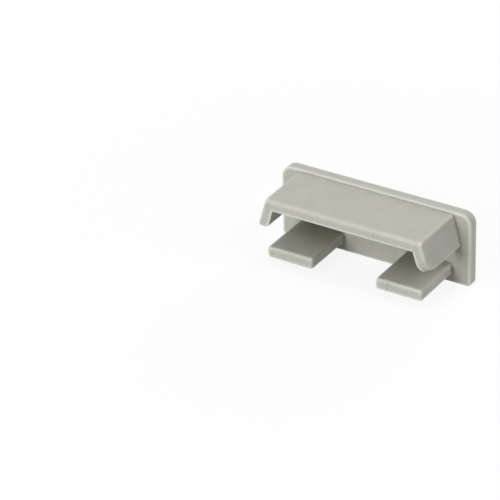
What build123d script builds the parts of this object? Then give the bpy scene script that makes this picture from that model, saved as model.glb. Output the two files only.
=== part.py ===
from build123d import *
import os
from math import radians, tan

# End cap for a flat extruded profile, moulded in one piece of thermoplastic.
#
# Frame, in millimetres: X runs along the plate, Y out of the back of the plate into the profile,
# Z up. The origin is the middle of the plate's back face, the plane that the cut end of the
# profile meets. The plain front face looks along -Y.
#
# The hood's two legs end differently: the guide leg, towards -X, has a large lead-in radius and a
# slanted foot, and the plain leg, towards +X, has a square end and a level foot. The cap for the
# profile's other end is the mirror image.

# ---- Plate: what stays in view when the cap is fitted
plate_length = 30.0
plate_height = 11.0
plate_thickness = 2.25
plate_top_radius = 1.7          # the two upper corners
plate_bottom_radius = 0.45      # the two lower corners
front_chamfer = 0.65            # 45 degree bevel all round the front face
front_bottom_radius = 0.3       # what the bevel leaves of the lower corners
bevel_blend = 0.2               # softening of the bevel's two edges
back_edge_radius = 0.2          # softening of the back face's edge

# ---- Hood: the upper plug, a roof with a splayed leg under each end, open below and at its free end
hood_length = 24.4              # along X over the roof's top, at the free end
hood_depth = 9.0                # reach into the profile
hood_step = 0.32                # its roof meets the plate this far below the plate's top
hood_draft = 0.5                # degrees by which its faces lean, for release from the mould
roof_thickness = 1.65           # at the free end
leg_thickness = 1.6             # along X, at the free end
leg_splay = 16.0                # degrees out of upright, feet outwards
guide_foot_height = 6.12        # guide leg: outer edge of its foot above the plate's bottom
guide_foot_slant = 28.0         # guide leg: degrees by which its foot falls towards the inside
guide_foot_radius = 2.4         # guide leg: lead-in at the lower corner of its free end
plain_foot_height = 6.2         # plain leg: its level foot above the plate's bottom
plain_foot_radius = 0.3         # plain leg: lower corner of its free end
plain_foot_bevel = 0.35         # plain leg: inner edge of its foot
roof_front_radius = 0.6         # along the roof's free edge
hood_side_radius = 0.35         # outer edges of the roof's sides, the legs' free ends and the feet
hood_inner_radius = 0.15        # inner edge of the roof's free end

# ---- Tongues: the two lower plugs
tongue_gap = 10.0               # clear distance between the two
tongue_width = 7.2
tongue_depth = 8.6
tongue_thickness = 1.65
tongue_lift = 1.3               # underside above the plate's bottom
tongue_corner_radius = 0.4      # corners of the free end, seen from above
tongue_upper_radius = 0.4       # edges of the upper face
tongue_lower_radius = 0.25      # edges of the lower face

# ---- Worked out from the sizes above
plate_top = plate_height / 2
plate_bottom = -plate_height / 2
hood_release = hood_depth * tan(radians(hood_draft))    # shift of a drafted face over the depth
leg_slope = tan(radians(leg_splay))


def plate_outline(inset, top_radius, bottom_radius):
    """Rounded rectangle of the plate, drawn smaller by an inset on every side."""
    outline = Rectangle(plate_length - 2 * inset, plate_height - 2 * inset)
    outline = fillet(outline.vertices().group_by(Axis.Y)[-1], top_radius)
    return fillet(outline.vertices().group_by(Axis.Y)[0], bottom_radius)


def make_plate():
    """Plate with a straight rim behind and a bevelled front."""
    rim_depth = plate_thickness - front_chamfer
    rim_plane = Plane.XZ.offset(rim_depth)
    front_plane = Plane.XZ.offset(plate_thickness)
    full = plate_outline(0, plate_top_radius, plate_bottom_radius)
    inner = plate_outline(front_chamfer, plate_top_radius - front_chamfer, front_bottom_radius)
    rim = extrude(Plane.XZ * full, rim_depth)
    bevel = loft([rim_plane * full, front_plane * inner], ruled=True)
    plate = rim + bevel
    levels = plate.edges().group_by(Axis.Y)
    front_edges, rim_front_edges = levels[0], levels[2]
    plate = fillet(front_edges + rim_front_edges, bevel_blend)
    return fillet(plate.edges().group_by(Axis.Y)[-1], back_edge_radius)


def half_hood(release, foot_height, foot_slant):
    """Corners of the hood's +X half, from the roof's outer edge round to its underside.

    Release is how far the drafted faces stand out from where they are at the free end.
    """
    roof_top = plate_top - hood_step - hood_release + release
    roof_under = roof_top - roof_thickness - 2 * release
    foot = plate_bottom + foot_height
    inner_foot = foot - leg_thickness * tan(radians(foot_slant))
    roof_corner = hood_length / 2 + release

    def outer_x(height):
        return roof_corner + (roof_top - height) * leg_slope

    def inner_x(height):
        return outer_x(height) - leg_thickness - 2 * release

    return [
        (roof_corner, roof_top),
        (outer_x(foot), foot),
        (inner_x(inner_foot), inner_foot),
        (inner_x(roof_under), roof_under),
    ]


def hood_section(release):
    """Section right across the hood, the plain leg on the +X side with its foot bevelled inside."""
    plain_side = half_hood(release, plain_foot_height, 0)
    guide_side = half_hood(release, guide_foot_height, guide_foot_slant)
    mirrored = [(-x, z) for x, z in reversed(guide_side)]
    section = make_face(Polyline(*plain_side, *mirrored, close=True))
    plain_foot = section.vertices().sort_by(Axis.X)[-4:].sort_by(Axis.Y)[:2]
    return chamfer(plain_foot.sort_by(Axis.X)[0], plain_foot_bevel)


def free_edges(solid):
    """Edges in the plane of the free end."""
    return solid.edges().group_by(Axis.Y)[-1]


def free_foot_edge(hood, side):
    """Edge across a leg's foot at the free end: side +1 is the plain leg, -1 the guide leg."""
    on_side = free_edges(hood).filter_by(lambda edge: edge.center().X * side > 0)
    return on_side.sort_by(Axis.Z)[0]


def depth_edges(hood):
    """Edges that run from the plate to the free end."""
    return hood.edges().filter_by(lambda edge: abs(edge.tangent_at(0.5).Y) > 0.9)


def free_roof_edges(hood):
    """Lower and upper edge of the roof's free end."""
    return free_edges(hood).sort_by(SortBy.LENGTH)[-2:].sort_by(Axis.Z)


def make_hood():
    """Hood with drafted faces, its feet and free edges rounded."""
    free_plane = Plane.XZ.offset(-hood_depth)
    hood = loft([Plane.XZ * hood_section(hood_release), free_plane * hood_section(0)], ruled=True)
    hood = fillet(free_foot_edge(hood, -1), guide_foot_radius)
    hood = fillet(free_foot_edge(hood, 1), plain_foot_radius)
    hood = fillet(free_roof_edges(hood)[1], roof_front_radius)
    hood = fillet(depth_edges(hood).sort_by(Axis.Z)[-2:], hood_side_radius)
    return fillet(free_roof_edges(hood)[0], hood_inner_radius)


def make_tongue():
    """Flat tongue on the +X side, its free end and edges rounded."""
    plan = Rectangle(tongue_width, tongue_depth, align=(Align.MIN, Align.MIN))
    plan = fillet(plan.vertices().group_by(Axis.Y)[-1], tongue_corner_radius)
    seat = Location((tongue_gap / 2, 0, plate_bottom + tongue_lift))
    tongue = extrude(seat * plan, tongue_thickness)
    upper_free = tongue.edges().group_by(Axis.Z)[-1].sort_by(Axis.Y)[1:]
    tongue = fillet(upper_free, tongue_upper_radius)
    lower_free = tongue.edges().group_by(Axis.Z)[0].sort_by(Axis.Y)[1:]
    return fillet(lower_free, tongue_lower_radius)


tongue = make_tongue()
cap = make_plate() + make_hood() + tongue + mirror(tongue, Plane.YZ)
os.makedirs("parts", exist_ok=True)
export_step(cap, "parts/end_cap.step")
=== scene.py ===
from math import cos, pi, radians, sin

import bpy
from bpy.props import FloatProperty, FloatVectorProperty, PointerProperty
from mathutils import Matrix, Vector


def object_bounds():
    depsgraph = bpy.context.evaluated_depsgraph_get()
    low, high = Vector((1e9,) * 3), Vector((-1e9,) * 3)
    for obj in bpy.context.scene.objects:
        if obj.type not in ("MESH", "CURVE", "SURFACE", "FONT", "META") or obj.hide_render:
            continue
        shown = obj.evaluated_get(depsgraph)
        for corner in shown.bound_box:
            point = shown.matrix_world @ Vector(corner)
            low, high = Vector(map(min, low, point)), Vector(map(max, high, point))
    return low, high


bl_info = {
    "name": "Profile End Cap",
    "version": (1, 0, 0),
    "blender": (4, 5, 0),
    "location": "3D View > Sidebar > End Cap",
    "description": "Finishes a moulded profile end cap and lights it on a pale floor",
    "category": "Object",
}

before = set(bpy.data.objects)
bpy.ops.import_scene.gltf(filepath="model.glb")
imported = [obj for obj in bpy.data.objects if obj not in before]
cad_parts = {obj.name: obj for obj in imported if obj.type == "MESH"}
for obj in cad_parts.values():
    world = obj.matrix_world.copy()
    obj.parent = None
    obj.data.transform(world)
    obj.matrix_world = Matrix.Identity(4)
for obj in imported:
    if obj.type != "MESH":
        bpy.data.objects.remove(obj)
CAD_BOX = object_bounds()
CAP_NODE = "end_cap"

# Lamps, each a square softbox: name, azimuth from the camera's side (positive to its right),
# elevation, side length in metres
LAMPS = (
    ("key", radians(-48), radians(18), 0.26),
    ("front", radians(-50), radians(40), 0.26),
    ("overhead", radians(-90), radians(84), 0.26),
    ("fill", radians(60), radians(42), 0.26),
    ("face", radians(147), radians(14), 0.16),
)
LAMP_DISTANCE = 0.5  # metres from the cap's middle
# So low that the roof would mirror them in views from the other side
UNMIRRORED_LAMPS = ("key", "face")

WHITE = (1, 1, 1, 1)


# ---------------------------------------------------------------- settings

def length_setting(name, description, default):
    """A length in metres that can be very small."""
    return FloatProperty(
        name=name,
        description=description,
        subtype="DISTANCE",
        unit="LENGTH",
        min=0,
        default=default,
        precision=6,
    )


def factor_setting(name, description, default):
    return FloatProperty(
        name=name, description=description, subtype="FACTOR", min=0, max=1, default=default
    )


def angle_setting(name, description, default):
    return FloatProperty(name=name, description=description, subtype="ANGLE", default=default)


def level_setting(name, default):
    return FloatProperty(
        name=name,
        description="Brightness that this light gives a white surface facing it",
        min=0,
        soft_max=2,
        default=default,
    )


class PlasticSettings(bpy.types.PropertyGroup):
    """Colour and surface of the moulded plastic, with painted highlights and painted shade mixed
    into its colour.
    """

    colour: FloatVectorProperty(
        name="Colour",
        description="Colour of the plastic",
        subtype="COLOR",
        size=3,
        min=0,
        max=1,
        default=(0.528, 0.526, 0.462),
    )
    colour_drift: factor_setting("Colour Drift", "Change of brightness over the skin", 0.1)
    # Painted highlight: a paler colour mixed in along outer edges, where rounded edges would catch
    # the lamps
    edge_highlight_colour: FloatVectorProperty(
        name="Edge Colour",
        description="Paler colour of the plastic at sharp edges",
        subtype="COLOR",
        size=3,
        min=0,
        max=1,
        default=(0.78, 0.78, 0.71),
    )
    edge_highlight_share: factor_setting("Edge Share", "How much of the edge colour shows", 0.72)
    edge_highlight_reach: length_setting("Edge Reach", "How far the paler edges reach", 0.0005)
    # Painted shade: the colour is darkened in inner corners and deep recesses, where shade falls
    corner_shade_share: factor_setting("Corner Share", "How dark the inner corners are", 0.35)
    corner_shade_reach: length_setting("Corner Reach", "How far the dark inner corners reach", 0.0006)
    recess_shade_share: factor_setting("Recess Share", "How dark the deep recesses are", 0.75)
    recess_shade_reach: length_setting("Recess Reach", "Width of a gap that counts as a recess", 0.014)
    reflection: factor_setting("Reflection", "Strength of the skin's reflections", 0.3)
    roughness: factor_setting("Roughness", "Mean roughness of the moulded skin", 0.32)
    roughness_drift: factor_setting("Roughness Drift", "Change of roughness over the skin", 0.06)
    grain_size: length_setting("Grain Size", "Distance between the pits of the skin", 0.00011)
    grain_depth: length_setting("Grain Depth", "Depth of the pits of the skin", 0.000005)
    drift_size: length_setting("Drift Size", "Size of the cloudy patches of the skin", 0.0025)
    streak_size: length_setting("Streak Size", "Distance between drag or tool marks", 0.0003)
    streak_depth: length_setting("Streak Depth", "Depth of drag and tool marks", 0.0000008)
    seam_width: length_setting("Seam Width", "Width of the lines where mould inserts met", 0.00018)
    seam_depth: length_setting("Seam Depth", "Depth of those lines", 0.00002)


class StudioSettings(bpy.types.PropertyGroup):
    """Camera, lamps and floor."""

    azimuth: angle_setting("Azimuth", "Side that the camera looks from", radians(212.87))
    elevation: angle_setting("Elevation", "Height of the camera above the horizon", radians(30.2))
    roll: angle_setting("Roll", "Turn of the camera about its own axis", radians(1.53))
    distance: length_setting("Distance", "From the camera to the cap, along the view", 0.42227)
    pan: FloatVectorProperty(
        name="Pan",
        description="How far the cap stands right of and above the middle of the view",
        subtype="XYZ",
        unit="LENGTH",
        size=2,
        default=(0.01547, 0.00193),
        precision=5,
    )
    lens: FloatProperty(
        name="Lens",
        description="Focal length in millimetres",
        subtype="DISTANCE_CAMERA",
        default=221.2,
    )
    key: level_setting("Key", 0.415)
    front: level_setting("Front", 0.235)
    overhead: level_setting("Overhead", 0.3)
    fill: level_setting("Fill", 0.285)
    face: level_setting("Face", 0.4)
    ambient: level_setting("Ambient", 0.06)
    floor_colour: FloatVectorProperty(
        name="Floor Colour",
        description="Colour of the floor in the light of the lamps",
        subtype="COLOR",
        size=3,
        min=0,
        max=1,
        default=(0.7, 0.7, 0.7),
    )
    shadow_share: factor_setting("Shadow Share", "How dark the cap's shadow on the floor is", 0.2)


def plastic_settings():
    return bpy.context.scene.end_cap_plastic


def studio_settings():
    return bpy.context.scene.end_cap_studio


# ---------------------------------------------------------------- shader tools

class Shading:
    """Adds nodes to one node tree and links them."""

    def __init__(self, tree):
        self.tree = tree

    def node(self, kind, inputs=(), **properties):
        """A node with properties set, and inputs set or linked by name or number."""
        made = self.tree.nodes.new(kind)
        for name, value in properties.items():
            setattr(made, name, value)
        for name, value in dict(inputs).items():
            if isinstance(value, bpy.types.NodeSocket):
                self.tree.links.new(value, made.inputs[name])
            else:
                made.inputs[name].default_value = value
        return made

    def math(self, operation, first, second=0.0):
        made = self.node("ShaderNodeMath", {0: first, 1: second}, operation=operation)
        return made.outputs["Value"]

    def vector_math(self, operation, inputs, output="Vector"):
        return self.node("ShaderNodeVectorMath", inputs, operation=operation).outputs[output]

    def ramp(self, value, low, high, to_low=0.0, to_high=1.0):
        """The value carried smoothly from one range to another."""
        inputs = {
            "Value": value,
            "From Min": low,
            "From Max": high,
            "To Min": to_low,
            "To Max": to_high,
        }
        made = self.node("ShaderNodeMapRange", inputs, interpolation_type="SMOOTHSTEP")
        return made.outputs["Result"]

    def mix_colour(self, factor, first, second):
        made = self.node("ShaderNodeMix", {"Factor": factor}, data_type="RGBA")
        for number, value in ((6, first), (7, second)):
            if isinstance(value, bpy.types.NodeSocket):
                self.tree.links.new(value, made.inputs[number])
            else:
                made.inputs[number].default_value = value
        return made.outputs[2]

    def mix_shader(self, factor, first, second):
        made = self.node("ShaderNodeMixShader", {0: factor, 1: first, 2: second})
        return made.outputs["Shader"]

    def place(self, scale):
        """Place on the object in metres, multiplied by a number or a number socket."""
        coordinates = self.node("ShaderNodeTexCoord").outputs["Object"]
        return self.vector_math("SCALE", {0: coordinates, "Scale": scale})

    def facing(self, axis, low, high):
        """0 to 1 as the surface turns to look along an axis, between two parts of its normal."""
        normal = self.node("ShaderNodeNewGeometry").outputs["Normal"]
        part = self.node("ShaderNodeSeparateXYZ", {0: normal}).outputs[axis]
        return self.ramp(part, low, high)

    def group(self, tree, **inputs):
        """A node group placed with its own values: its output sockets."""
        made = self.tree.nodes.new("ShaderNodeGroup")
        made.node_tree = tree
        for name, value in inputs.items():
            made.inputs[name].default_value = value
        return made.outputs


def new_material(name):
    """An empty material and the tools for its nodes."""
    material = bpy.data.materials.new(name)
    material.use_nodes = True
    material.node_tree.nodes.clear()
    return material, Shading(material.node_tree)


def new_group(name, inputs, outputs):
    """A shader node group with float inputs and outputs: its tools, its input sockets, its end."""
    tree = bpy.data.node_groups.new(name, "ShaderNodeTree")
    kind = "NodeSocketFloat"
    for socket_name, default in inputs.items():
        socket = tree.interface.new_socket(socket_name, in_out="INPUT", socket_type=kind)
        socket.default_value = default
    for socket_name in outputs:
        tree.interface.new_socket(socket_name, in_out="OUTPUT", socket_type=kind)
    shading = Shading(tree)
    start = shading.node("NodeGroupInput")
    end = shading.node("NodeGroupOutput")
    return shading, start.outputs, end.inputs


# ---------------------------------------------------------------- effects

NOISE_RANGE = (0.3, 0.7)  # where nearly all values of a noise lie
GRAIN_SOFTNESS = 0.7  # how rounded the pits are
GRAIN_HEIGHT = 0.6  # brings pits and bumps together to a height of about 1
SURROUNDINGS_SAMPLES = 16
# Parts of the normal along Y: of faces with streaks, and of free ends, which show a seam
STREAKED_FACING = (-0.7, -0.3)
SEAM_FACING = (0.8, 0.98)
SEAM_EDGE = (0.5, 0.1)  # shares of a seam's width at which it is gone and full


def mould_grain():
    """Fine pits that an eroded mould leaves. Height runs from 0 to about 1."""
    shading, start, end = new_group("mould grain", {"Size": 0.0001}, ("Height",))
    place = shading.place(shading.math("DIVIDE", 1.0, start["Size"]))
    pits = shading.node(
        "ShaderNodeTexVoronoi",
        {"Vector": place, "Scale": 1.0, "Smoothness": GRAIN_SOFTNESS},
        feature="SMOOTH_F1",
    )
    bumps = shading.node("ShaderNodeTexNoise", {"Vector": place, "Scale": 0.5, "Detail": 3.0})
    height = shading.math("ADD", pits.outputs["Distance"], bumps.outputs["Fac"])
    shading.tree.links.new(shading.math("MULTIPLY", height, GRAIN_HEIGHT), end["Height"])
    return shading.tree


def skin_drift():
    """Cloudy patches of the skin, from 0 to 1."""
    shading, start, end = new_group("skin drift", {"Size": 0.002}, ("Value",))
    place = shading.place(shading.math("DIVIDE", 1.0, start["Size"]))
    cloud = shading.node("ShaderNodeTexNoise", {"Vector": place, "Scale": 1.0, "Detail": 5.0})
    shading.tree.links.new(shading.ramp(cloud.outputs["Fac"], *NOISE_RANGE), end["Value"])
    return shading.tree


def streaks(name, stretch):
    """Faint streaks, long along the axis that the stretch is small for, from 0 to 1.

    The plate's face, which looks along -Y, has none.
    """
    shading, start, end = new_group(name, {"Size": 0.0003}, ("Value",))
    place = shading.place(shading.math("DIVIDE", 1.0, start["Size"]))
    stretched = shading.vector_math("MULTIPLY", {0: place, 1: stretch})
    cloud = shading.node("ShaderNodeTexNoise", {"Vector": stretched, "Scale": 1.0, "Detail": 2.0})
    marks = shading.ramp(cloud.outputs["Fac"], *NOISE_RANGE, -0.5, 0.5)
    marks = shading.math("MULTIPLY", marks, shading.facing("Y", *STREAKED_FACING))
    shading.tree.links.new(shading.math("ADD", marks, 0.5), end["Value"])
    return shading.tree


def surroundings(name, inside, open_from, closed_at):
    """Mask from the share of directions that meet no plastic within reach: 0 open, 1 closed.

    It looks into the plastic if inside is set, which finds outer edges, and out of it if not,
    which finds inner corners and recesses.
    """
    shading, start, end = new_group(name, {"Reach": 0.0003}, ("Mask",))
    free = shading.node(
        "ShaderNodeAmbientOcclusion",
        {"Distance": start["Reach"]},
        samples=SURROUNDINGS_SAMPLES,
        inside=inside,
        only_local=True,
    )
    shading.tree.links.new(shading.ramp(free.outputs["AO"], open_from, closed_at), end["Mask"])
    return shading.tree


def insert_seam():
    """A line up the plugs' free ends, at one place along X, between two heights.

    It stays beyond the nearest place along Y, clear of the plate's back.
    """
    inputs = {"Place": 0.0, "Width": 0.0001, "Lowest": -1.0, "Highest": 1.0, "Nearest": 0.004}
    shading, start, end = new_group("insert seam", inputs, ("Mask",))
    place = shading.node("ShaderNodeSeparateXYZ", {0: shading.place(1.0)}).outputs
    away = shading.math("ABSOLUTE", shading.math("SUBTRACT", place["X"], start["Place"]))
    mask = shading.ramp(shading.math("DIVIDE", away, start["Width"]), *SEAM_EDGE)
    limits = (
        shading.facing("Y", *SEAM_FACING),
        shading.math("GREATER_THAN", place["Z"], start["Lowest"]),
        shading.math("LESS_THAN", place["Z"], start["Highest"]),
        shading.math("GREATER_THAN", place["Y"], start["Nearest"]),
    )
    for limit in limits:
        mask = shading.math("MULTIPLY", mask, limit)
    shading.tree.links.new(mask, end["Mask"])
    return shading.tree


# ---------------------------------------------------------------- the cap

IOR = 1.5
PAINTED_SHADE_TINT = (0.25, 0.24, 0.15)  # share of the plastic's colour left where shade is painted into corners and recesses

# Stretch of the streaks: along the way that the cap leaves its mould, and along the way that
# the tool cut the mould's upright faces
ALONG_Y = (1.0, 0.04, 1.0)
ALONG_Z = (1.0, 1.0, 0.12)

# Each seam's place along X, and the height that it stays below or above, in metres
TONGUE_SEAM = {"Place": -0.0069, "Highest": 0.0}
ROOF_SEAM = {"Place": -0.0109, "Lowest": 0.0034}
DARK_SEAM_SHARE = 0.4
PALE_SEAM_SHARE = 0.5


def skin_colour_with_painted_light(shading, mottle, edges, corners, recess, dark_seam, pale_seam):
    """The plastic's colour, mottled, with a painted highlight along outer edges, painted shade in
    inner corners and recesses, and pale and dark seam lines.
    """
    plastic = plastic_settings()
    pale = [c * (1 + plastic.colour_drift / 2) for c in plastic.colour]
    dark = [c * (1 - plastic.colour_drift / 2) for c in plastic.colour]
    shade = [c * share for c, share in zip(plastic.colour, PAINTED_SHADE_TINT)]
    colour = shading.mix_colour(mottle, (*dark, 1), (*pale, 1))

    # Painted highlight: paler colour along outer edges, merged with the pale seam line
    edges = shading.math("MULTIPLY", edges, plastic.edge_highlight_share)
    pale_seam = shading.math("MULTIPLY", pale_seam, PALE_SEAM_SHARE)
    paler = shading.math("MAXIMUM", edges, pale_seam)
    colour = shading.mix_colour(paler, colour, (*plastic.edge_highlight_colour, 1))

    # Painted shade in inner corners and recesses, merged with the dark seam line
    corners = shading.math("MULTIPLY", corners, plastic.corner_shade_share)
    recess = shading.math("MULTIPLY", recess, plastic.recess_shade_share)
    dark_seam = shading.math("MULTIPLY", dark_seam, DARK_SEAM_SHARE)
    painted_shade_mask = shading.math("MAXIMUM", shading.math("MAXIMUM", corners, recess), dark_seam)
    return shading.mix_colour(painted_shade_mask, colour, (*shade, 1))


def skin_normal(shading, grain, marks, seams):
    """The surface's normal, with the depth of pits, marks and seams in metres."""
    plastic = plastic_settings()
    grain_height = shading.math("MULTIPLY", grain, plastic.grain_depth)
    mark_height = shading.math("MULTIPLY", marks, plastic.streak_depth)
    seam_height = shading.math("MULTIPLY", seams, -plastic.seam_depth)
    height = shading.math("ADD", grain_height, shading.math("ADD", mark_height, seam_height))
    bump = shading.node("ShaderNodeBump", {"Height": height, "Distance": 1.0, "Strength": 1.0})
    return bump.outputs["Normal"]


def plastic_material():
    plastic = plastic_settings()
    material, shading = new_material("moulded plastic")
    grain = shading.group(mould_grain(), Size=plastic.grain_size)["Height"]
    drift = shading.group(skin_drift(), Size=plastic.drift_size)["Value"]
    drag_marks, tool_marks = (
        shading.group(streaks(name, stretch), Size=plastic.streak_size)["Value"]
        for name, stretch in (("drag marks", ALONG_Y), ("tool marks", ALONG_Z))
    )
    # Masks for painted light: a painted highlight along outer edges, painted shade in inner
    # corners and recesses
    edge_highlight_group = surroundings("outer edges", inside=True, open_from=0.98, closed_at=0.8)
    corner_shade_group = surroundings("inner corners", inside=False, open_from=0.97, closed_at=0.5)
    recesses = surroundings("recesses", inside=False, open_from=0.35, closed_at=0.08)
    edges = shading.group(edge_highlight_group, Reach=plastic.edge_highlight_reach)["Mask"]
    corners = shading.group(corner_shade_group, Reach=plastic.corner_shade_reach)["Mask"]
    recess = shading.group(recesses, Reach=plastic.recess_shade_reach)["Mask"]
    seam = insert_seam()
    dark_seam, pale_seam = (
        shading.group(seam, Width=plastic.seam_width, **where)["Mask"]
        for where in (TONGUE_SEAM, ROOF_SEAM)
    )

    mottle = shading.math("MULTIPLY", shading.math("ADD", drift, tool_marks), 0.5)
    colour = skin_colour_with_painted_light(shading, mottle, edges, corners, recess, dark_seam, pale_seam)

    half_drift = plastic.roughness_drift / 2
    low = plastic.roughness - half_drift
    high = plastic.roughness + half_drift
    unevenness = shading.math("MULTIPLY", shading.math("ADD", drift, drag_marks), 0.5)
    roughness = shading.ramp(unevenness, 0.0, 1.0, low, high)

    marks = shading.math("ADD", drag_marks, tool_marks)
    seams = shading.math("MAXIMUM", dark_seam, pale_seam)
    inputs = {
        "Base Color": colour,
        "Roughness": roughness,
        "IOR": IOR,
        "Specular IOR Level": plastic.reflection,
        "Normal": skin_normal(shading, grain, marks, seams),
    }
    surface = shading.node("ShaderNodeBsdfPrincipled", inputs)
    shading.node("ShaderNodeOutputMaterial", {"Surface": surface.outputs["BSDF"]})
    return material


class ENDCAP_OT_finish_cap(bpy.types.Operator):
    """Give the cap its moulded plastic finish, with painted highlights and painted shade in its
    colour
    """

    bl_idname = "end_cap.finish_cap"
    bl_label = "Finish Cap"

    def execute(self, context):
        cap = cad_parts.get(CAP_NODE)
        if cap is None:
            raise RuntimeError("the frame has no cap")
        cap.data.materials.clear()
        cap.data.materials.append(plastic_material())
        return {"FINISHED"}


# ---------------------------------------------------------------- the stage

CLIP_RATIO = 100  # how much nearer and farther than the cap the camera sees
FLOOR_HALF_WIDTH = 2.0
SHADOW_FADE = (0.03, 0.09)  # distances from the origin at which the shadow starts and ends to fade


def view_axes(azimuth, elevation):
    """Unit vectors to the right, up and back of a camera that looks from that side."""
    right = Vector((cos(azimuth), sin(azimuth), 0))
    up = Vector((-sin(azimuth) * sin(elevation), cos(azimuth) * sin(elevation), cos(elevation)))
    return right, up, right.cross(up)


def cap_middle():
    low, high = CAD_BOX
    return (low + high) / 2


def link_object(name, data):
    made = bpy.data.objects.new(name, data)
    bpy.context.scene.collection.objects.link(made)
    return made


def add_camera():
    studio = studio_settings()
    right, up, back = view_axes(studio.azimuth, studio.elevation)
    rolled_right = right * cos(studio.roll) - up * sin(studio.roll)
    rolled_up = right * sin(studio.roll) + up * cos(studio.roll)
    camera = link_object("camera", bpy.data.cameras.new("camera"))
    place = cap_middle() + back * studio.distance
    place -= rolled_right * studio.pan[0] + rolled_up * studio.pan[1]
    turn = Matrix((rolled_right, rolled_up, back)).transposed().to_4x4()
    camera.matrix_world = Matrix.Translation(place) @ turn
    camera.data.lens = studio.lens
    camera.data.clip_start = studio.distance / CLIP_RATIO
    camera.data.clip_end = studio.distance * CLIP_RATIO
    bpy.context.scene.camera = camera


def add_lamp(name, azimuth, elevation, size, level):
    """A square softbox that looks at the cap and that the camera doesn't see."""
    back = view_axes(studio_settings().azimuth + azimuth, elevation)[2]
    lamp = link_object(name + " lamp", bpy.data.lights.new(name + " lamp", "AREA"))
    lamp.data.size = size
    # A matt white surface that faces a lamp reflects its power over (pi * distance) squared.
    lamp.data.energy = level * (pi * LAMP_DISTANCE) ** 2
    lamp.location = cap_middle() + back * LAMP_DISTANCE
    lamp.rotation_mode = "QUATERNION"
    lamp.rotation_quaternion = back.to_track_quat("Z", "Y")
    lamp.visible_camera = False
    lamp.visible_glossy = name not in UNMIRRORED_LAMPS


def backdrop_rays(shading):
    """1 for the rays that see a background: from the camera, and by way of gloss or glass."""
    path = shading.node("ShaderNodeLightPath").outputs
    seen = shading.math("MAXIMUM", path["Is Camera Ray"], path["Is Glossy Ray"])
    return shading.math("MAXIMUM", seen, path["Is Transmission Ray"])


def open_floor_level():
    """Brightness of the matt floor where nothing shades it."""
    studio = studio_settings()
    level = studio.ambient
    for name, _, elevation, _ in LAMPS:
        level += getattr(studio, name) * sin(elevation)
    return level * studio.floor_colour[0]


def floor_material():
    """Pale floor that is seen white, with the cap's soft shadow fading away from the cap.

    White and matt floor are mixed so that the open floor stays white. From below, the floor
    isn't seen.
    """
    studio = studio_settings()
    material, shading = new_material("pale floor")
    matt = shading.node("ShaderNodeBsdfDiffuse", {"Color": (*studio.floor_colour, 1)}).outputs[0]
    away = shading.vector_math("LENGTH", {0: shading.place(1.0)}, "Value")
    share = shading.ramp(away, *SHADOW_FADE, studio.shadow_share, 0.0)
    lit = shading.math("MULTIPLY", share, open_floor_level())
    rest = shading.math("SUBTRACT", 1.0, lit)
    strength = shading.math("DIVIDE", rest, shading.math("SUBTRACT", 1.0, share))
    white = shading.node("ShaderNodeEmission", {"Color": WHITE, "Strength": strength})
    seen = shading.mix_shader(share, white.outputs[0], matt)
    surface = shading.mix_shader(backdrop_rays(shading), matt, seen)
    clear = shading.node("ShaderNodeBsdfTransparent").outputs[0]
    behind = shading.node("ShaderNodeNewGeometry").outputs["Backfacing"]
    surface = shading.mix_shader(behind, surface, clear)
    shading.node("ShaderNodeOutputMaterial", {"Surface": surface})
    return material


def add_floor():
    half = FLOOR_HALF_WIDTH
    corners = [(-half, -half, 0), (half, -half, 0), (half, half, 0), (-half, half, 0)]
    mesh = bpy.data.meshes.new("floor")
    mesh.from_pydata(corners, [], [(0, 1, 2, 3)])
    mesh.materials.append(floor_material())
    floor = link_object("floor", mesh)
    floor.location.z = CAD_BOX[0].z


def set_world():
    """Even soft light from all round, seen as white."""
    world = bpy.data.worlds.new("studio")
    world.use_nodes = True
    world.node_tree.nodes.clear()
    shading = Shading(world.node_tree)
    ambient, white = (
        shading.node("ShaderNodeBackground", {"Color": WHITE, "Strength": strength}).outputs[0]
        for strength in (studio_settings().ambient, 1.0)
    )
    surface = shading.mix_shader(backdrop_rays(shading), ambient, white)
    shading.node("ShaderNodeOutputWorld", {"Surface": surface})
    bpy.context.scene.world = world


class ENDCAP_OT_set_stage(bpy.types.Operator):
    """Add the floor, the lamps and the camera"""

    bl_idname = "end_cap.set_stage"
    bl_label = "Set Stage"

    def execute(self, context):
        add_camera()
        for name, azimuth, elevation, size in LAMPS:
            add_lamp(name, azimuth, elevation, size, getattr(studio_settings(), name))
        add_floor()
        set_world()
        context.scene.view_settings.view_transform = "Standard"
        return {"FINISHED"}


# ---------------------------------------------------------------- the add-on

class ENDCAP_PT_sidebar(bpy.types.Panel):
    """Settings and steps of the end cap"""

    bl_idname = "ENDCAP_PT_sidebar"
    bl_label = "End Cap"
    bl_space_type = "VIEW_3D"
    bl_region_type = "UI"
    bl_category = "End Cap"

    def draw(self, context):
        steps = (
            (context.scene.end_cap_plastic, ENDCAP_OT_finish_cap),
            (context.scene.end_cap_studio, ENDCAP_OT_set_stage),
        )
        for group, operator in steps:
            box = self.layout.box()
            for name in group.__annotations__:
                box.prop(group, name)
            box.operator(operator.bl_idname)


CLASSES = (
    PlasticSettings,
    StudioSettings,
    ENDCAP_OT_finish_cap,
    ENDCAP_OT_set_stage,
    ENDCAP_PT_sidebar,
)


def register():
    for cls in CLASSES:
        bpy.utils.register_class(cls)
    bpy.types.Scene.end_cap_plastic = PointerProperty(type=PlasticSettings)
    bpy.types.Scene.end_cap_studio = PointerProperty(type=StudioSettings)


def unregister():
    del bpy.types.Scene.end_cap_studio
    del bpy.types.Scene.end_cap_plastic
    for cls in reversed(CLASSES):
        bpy.utils.unregister_class(cls)


def main():
    register()
    bpy.ops.end_cap.finish_cap()
    bpy.ops.end_cap.set_stage()


if __name__ == "__main__":
    main()
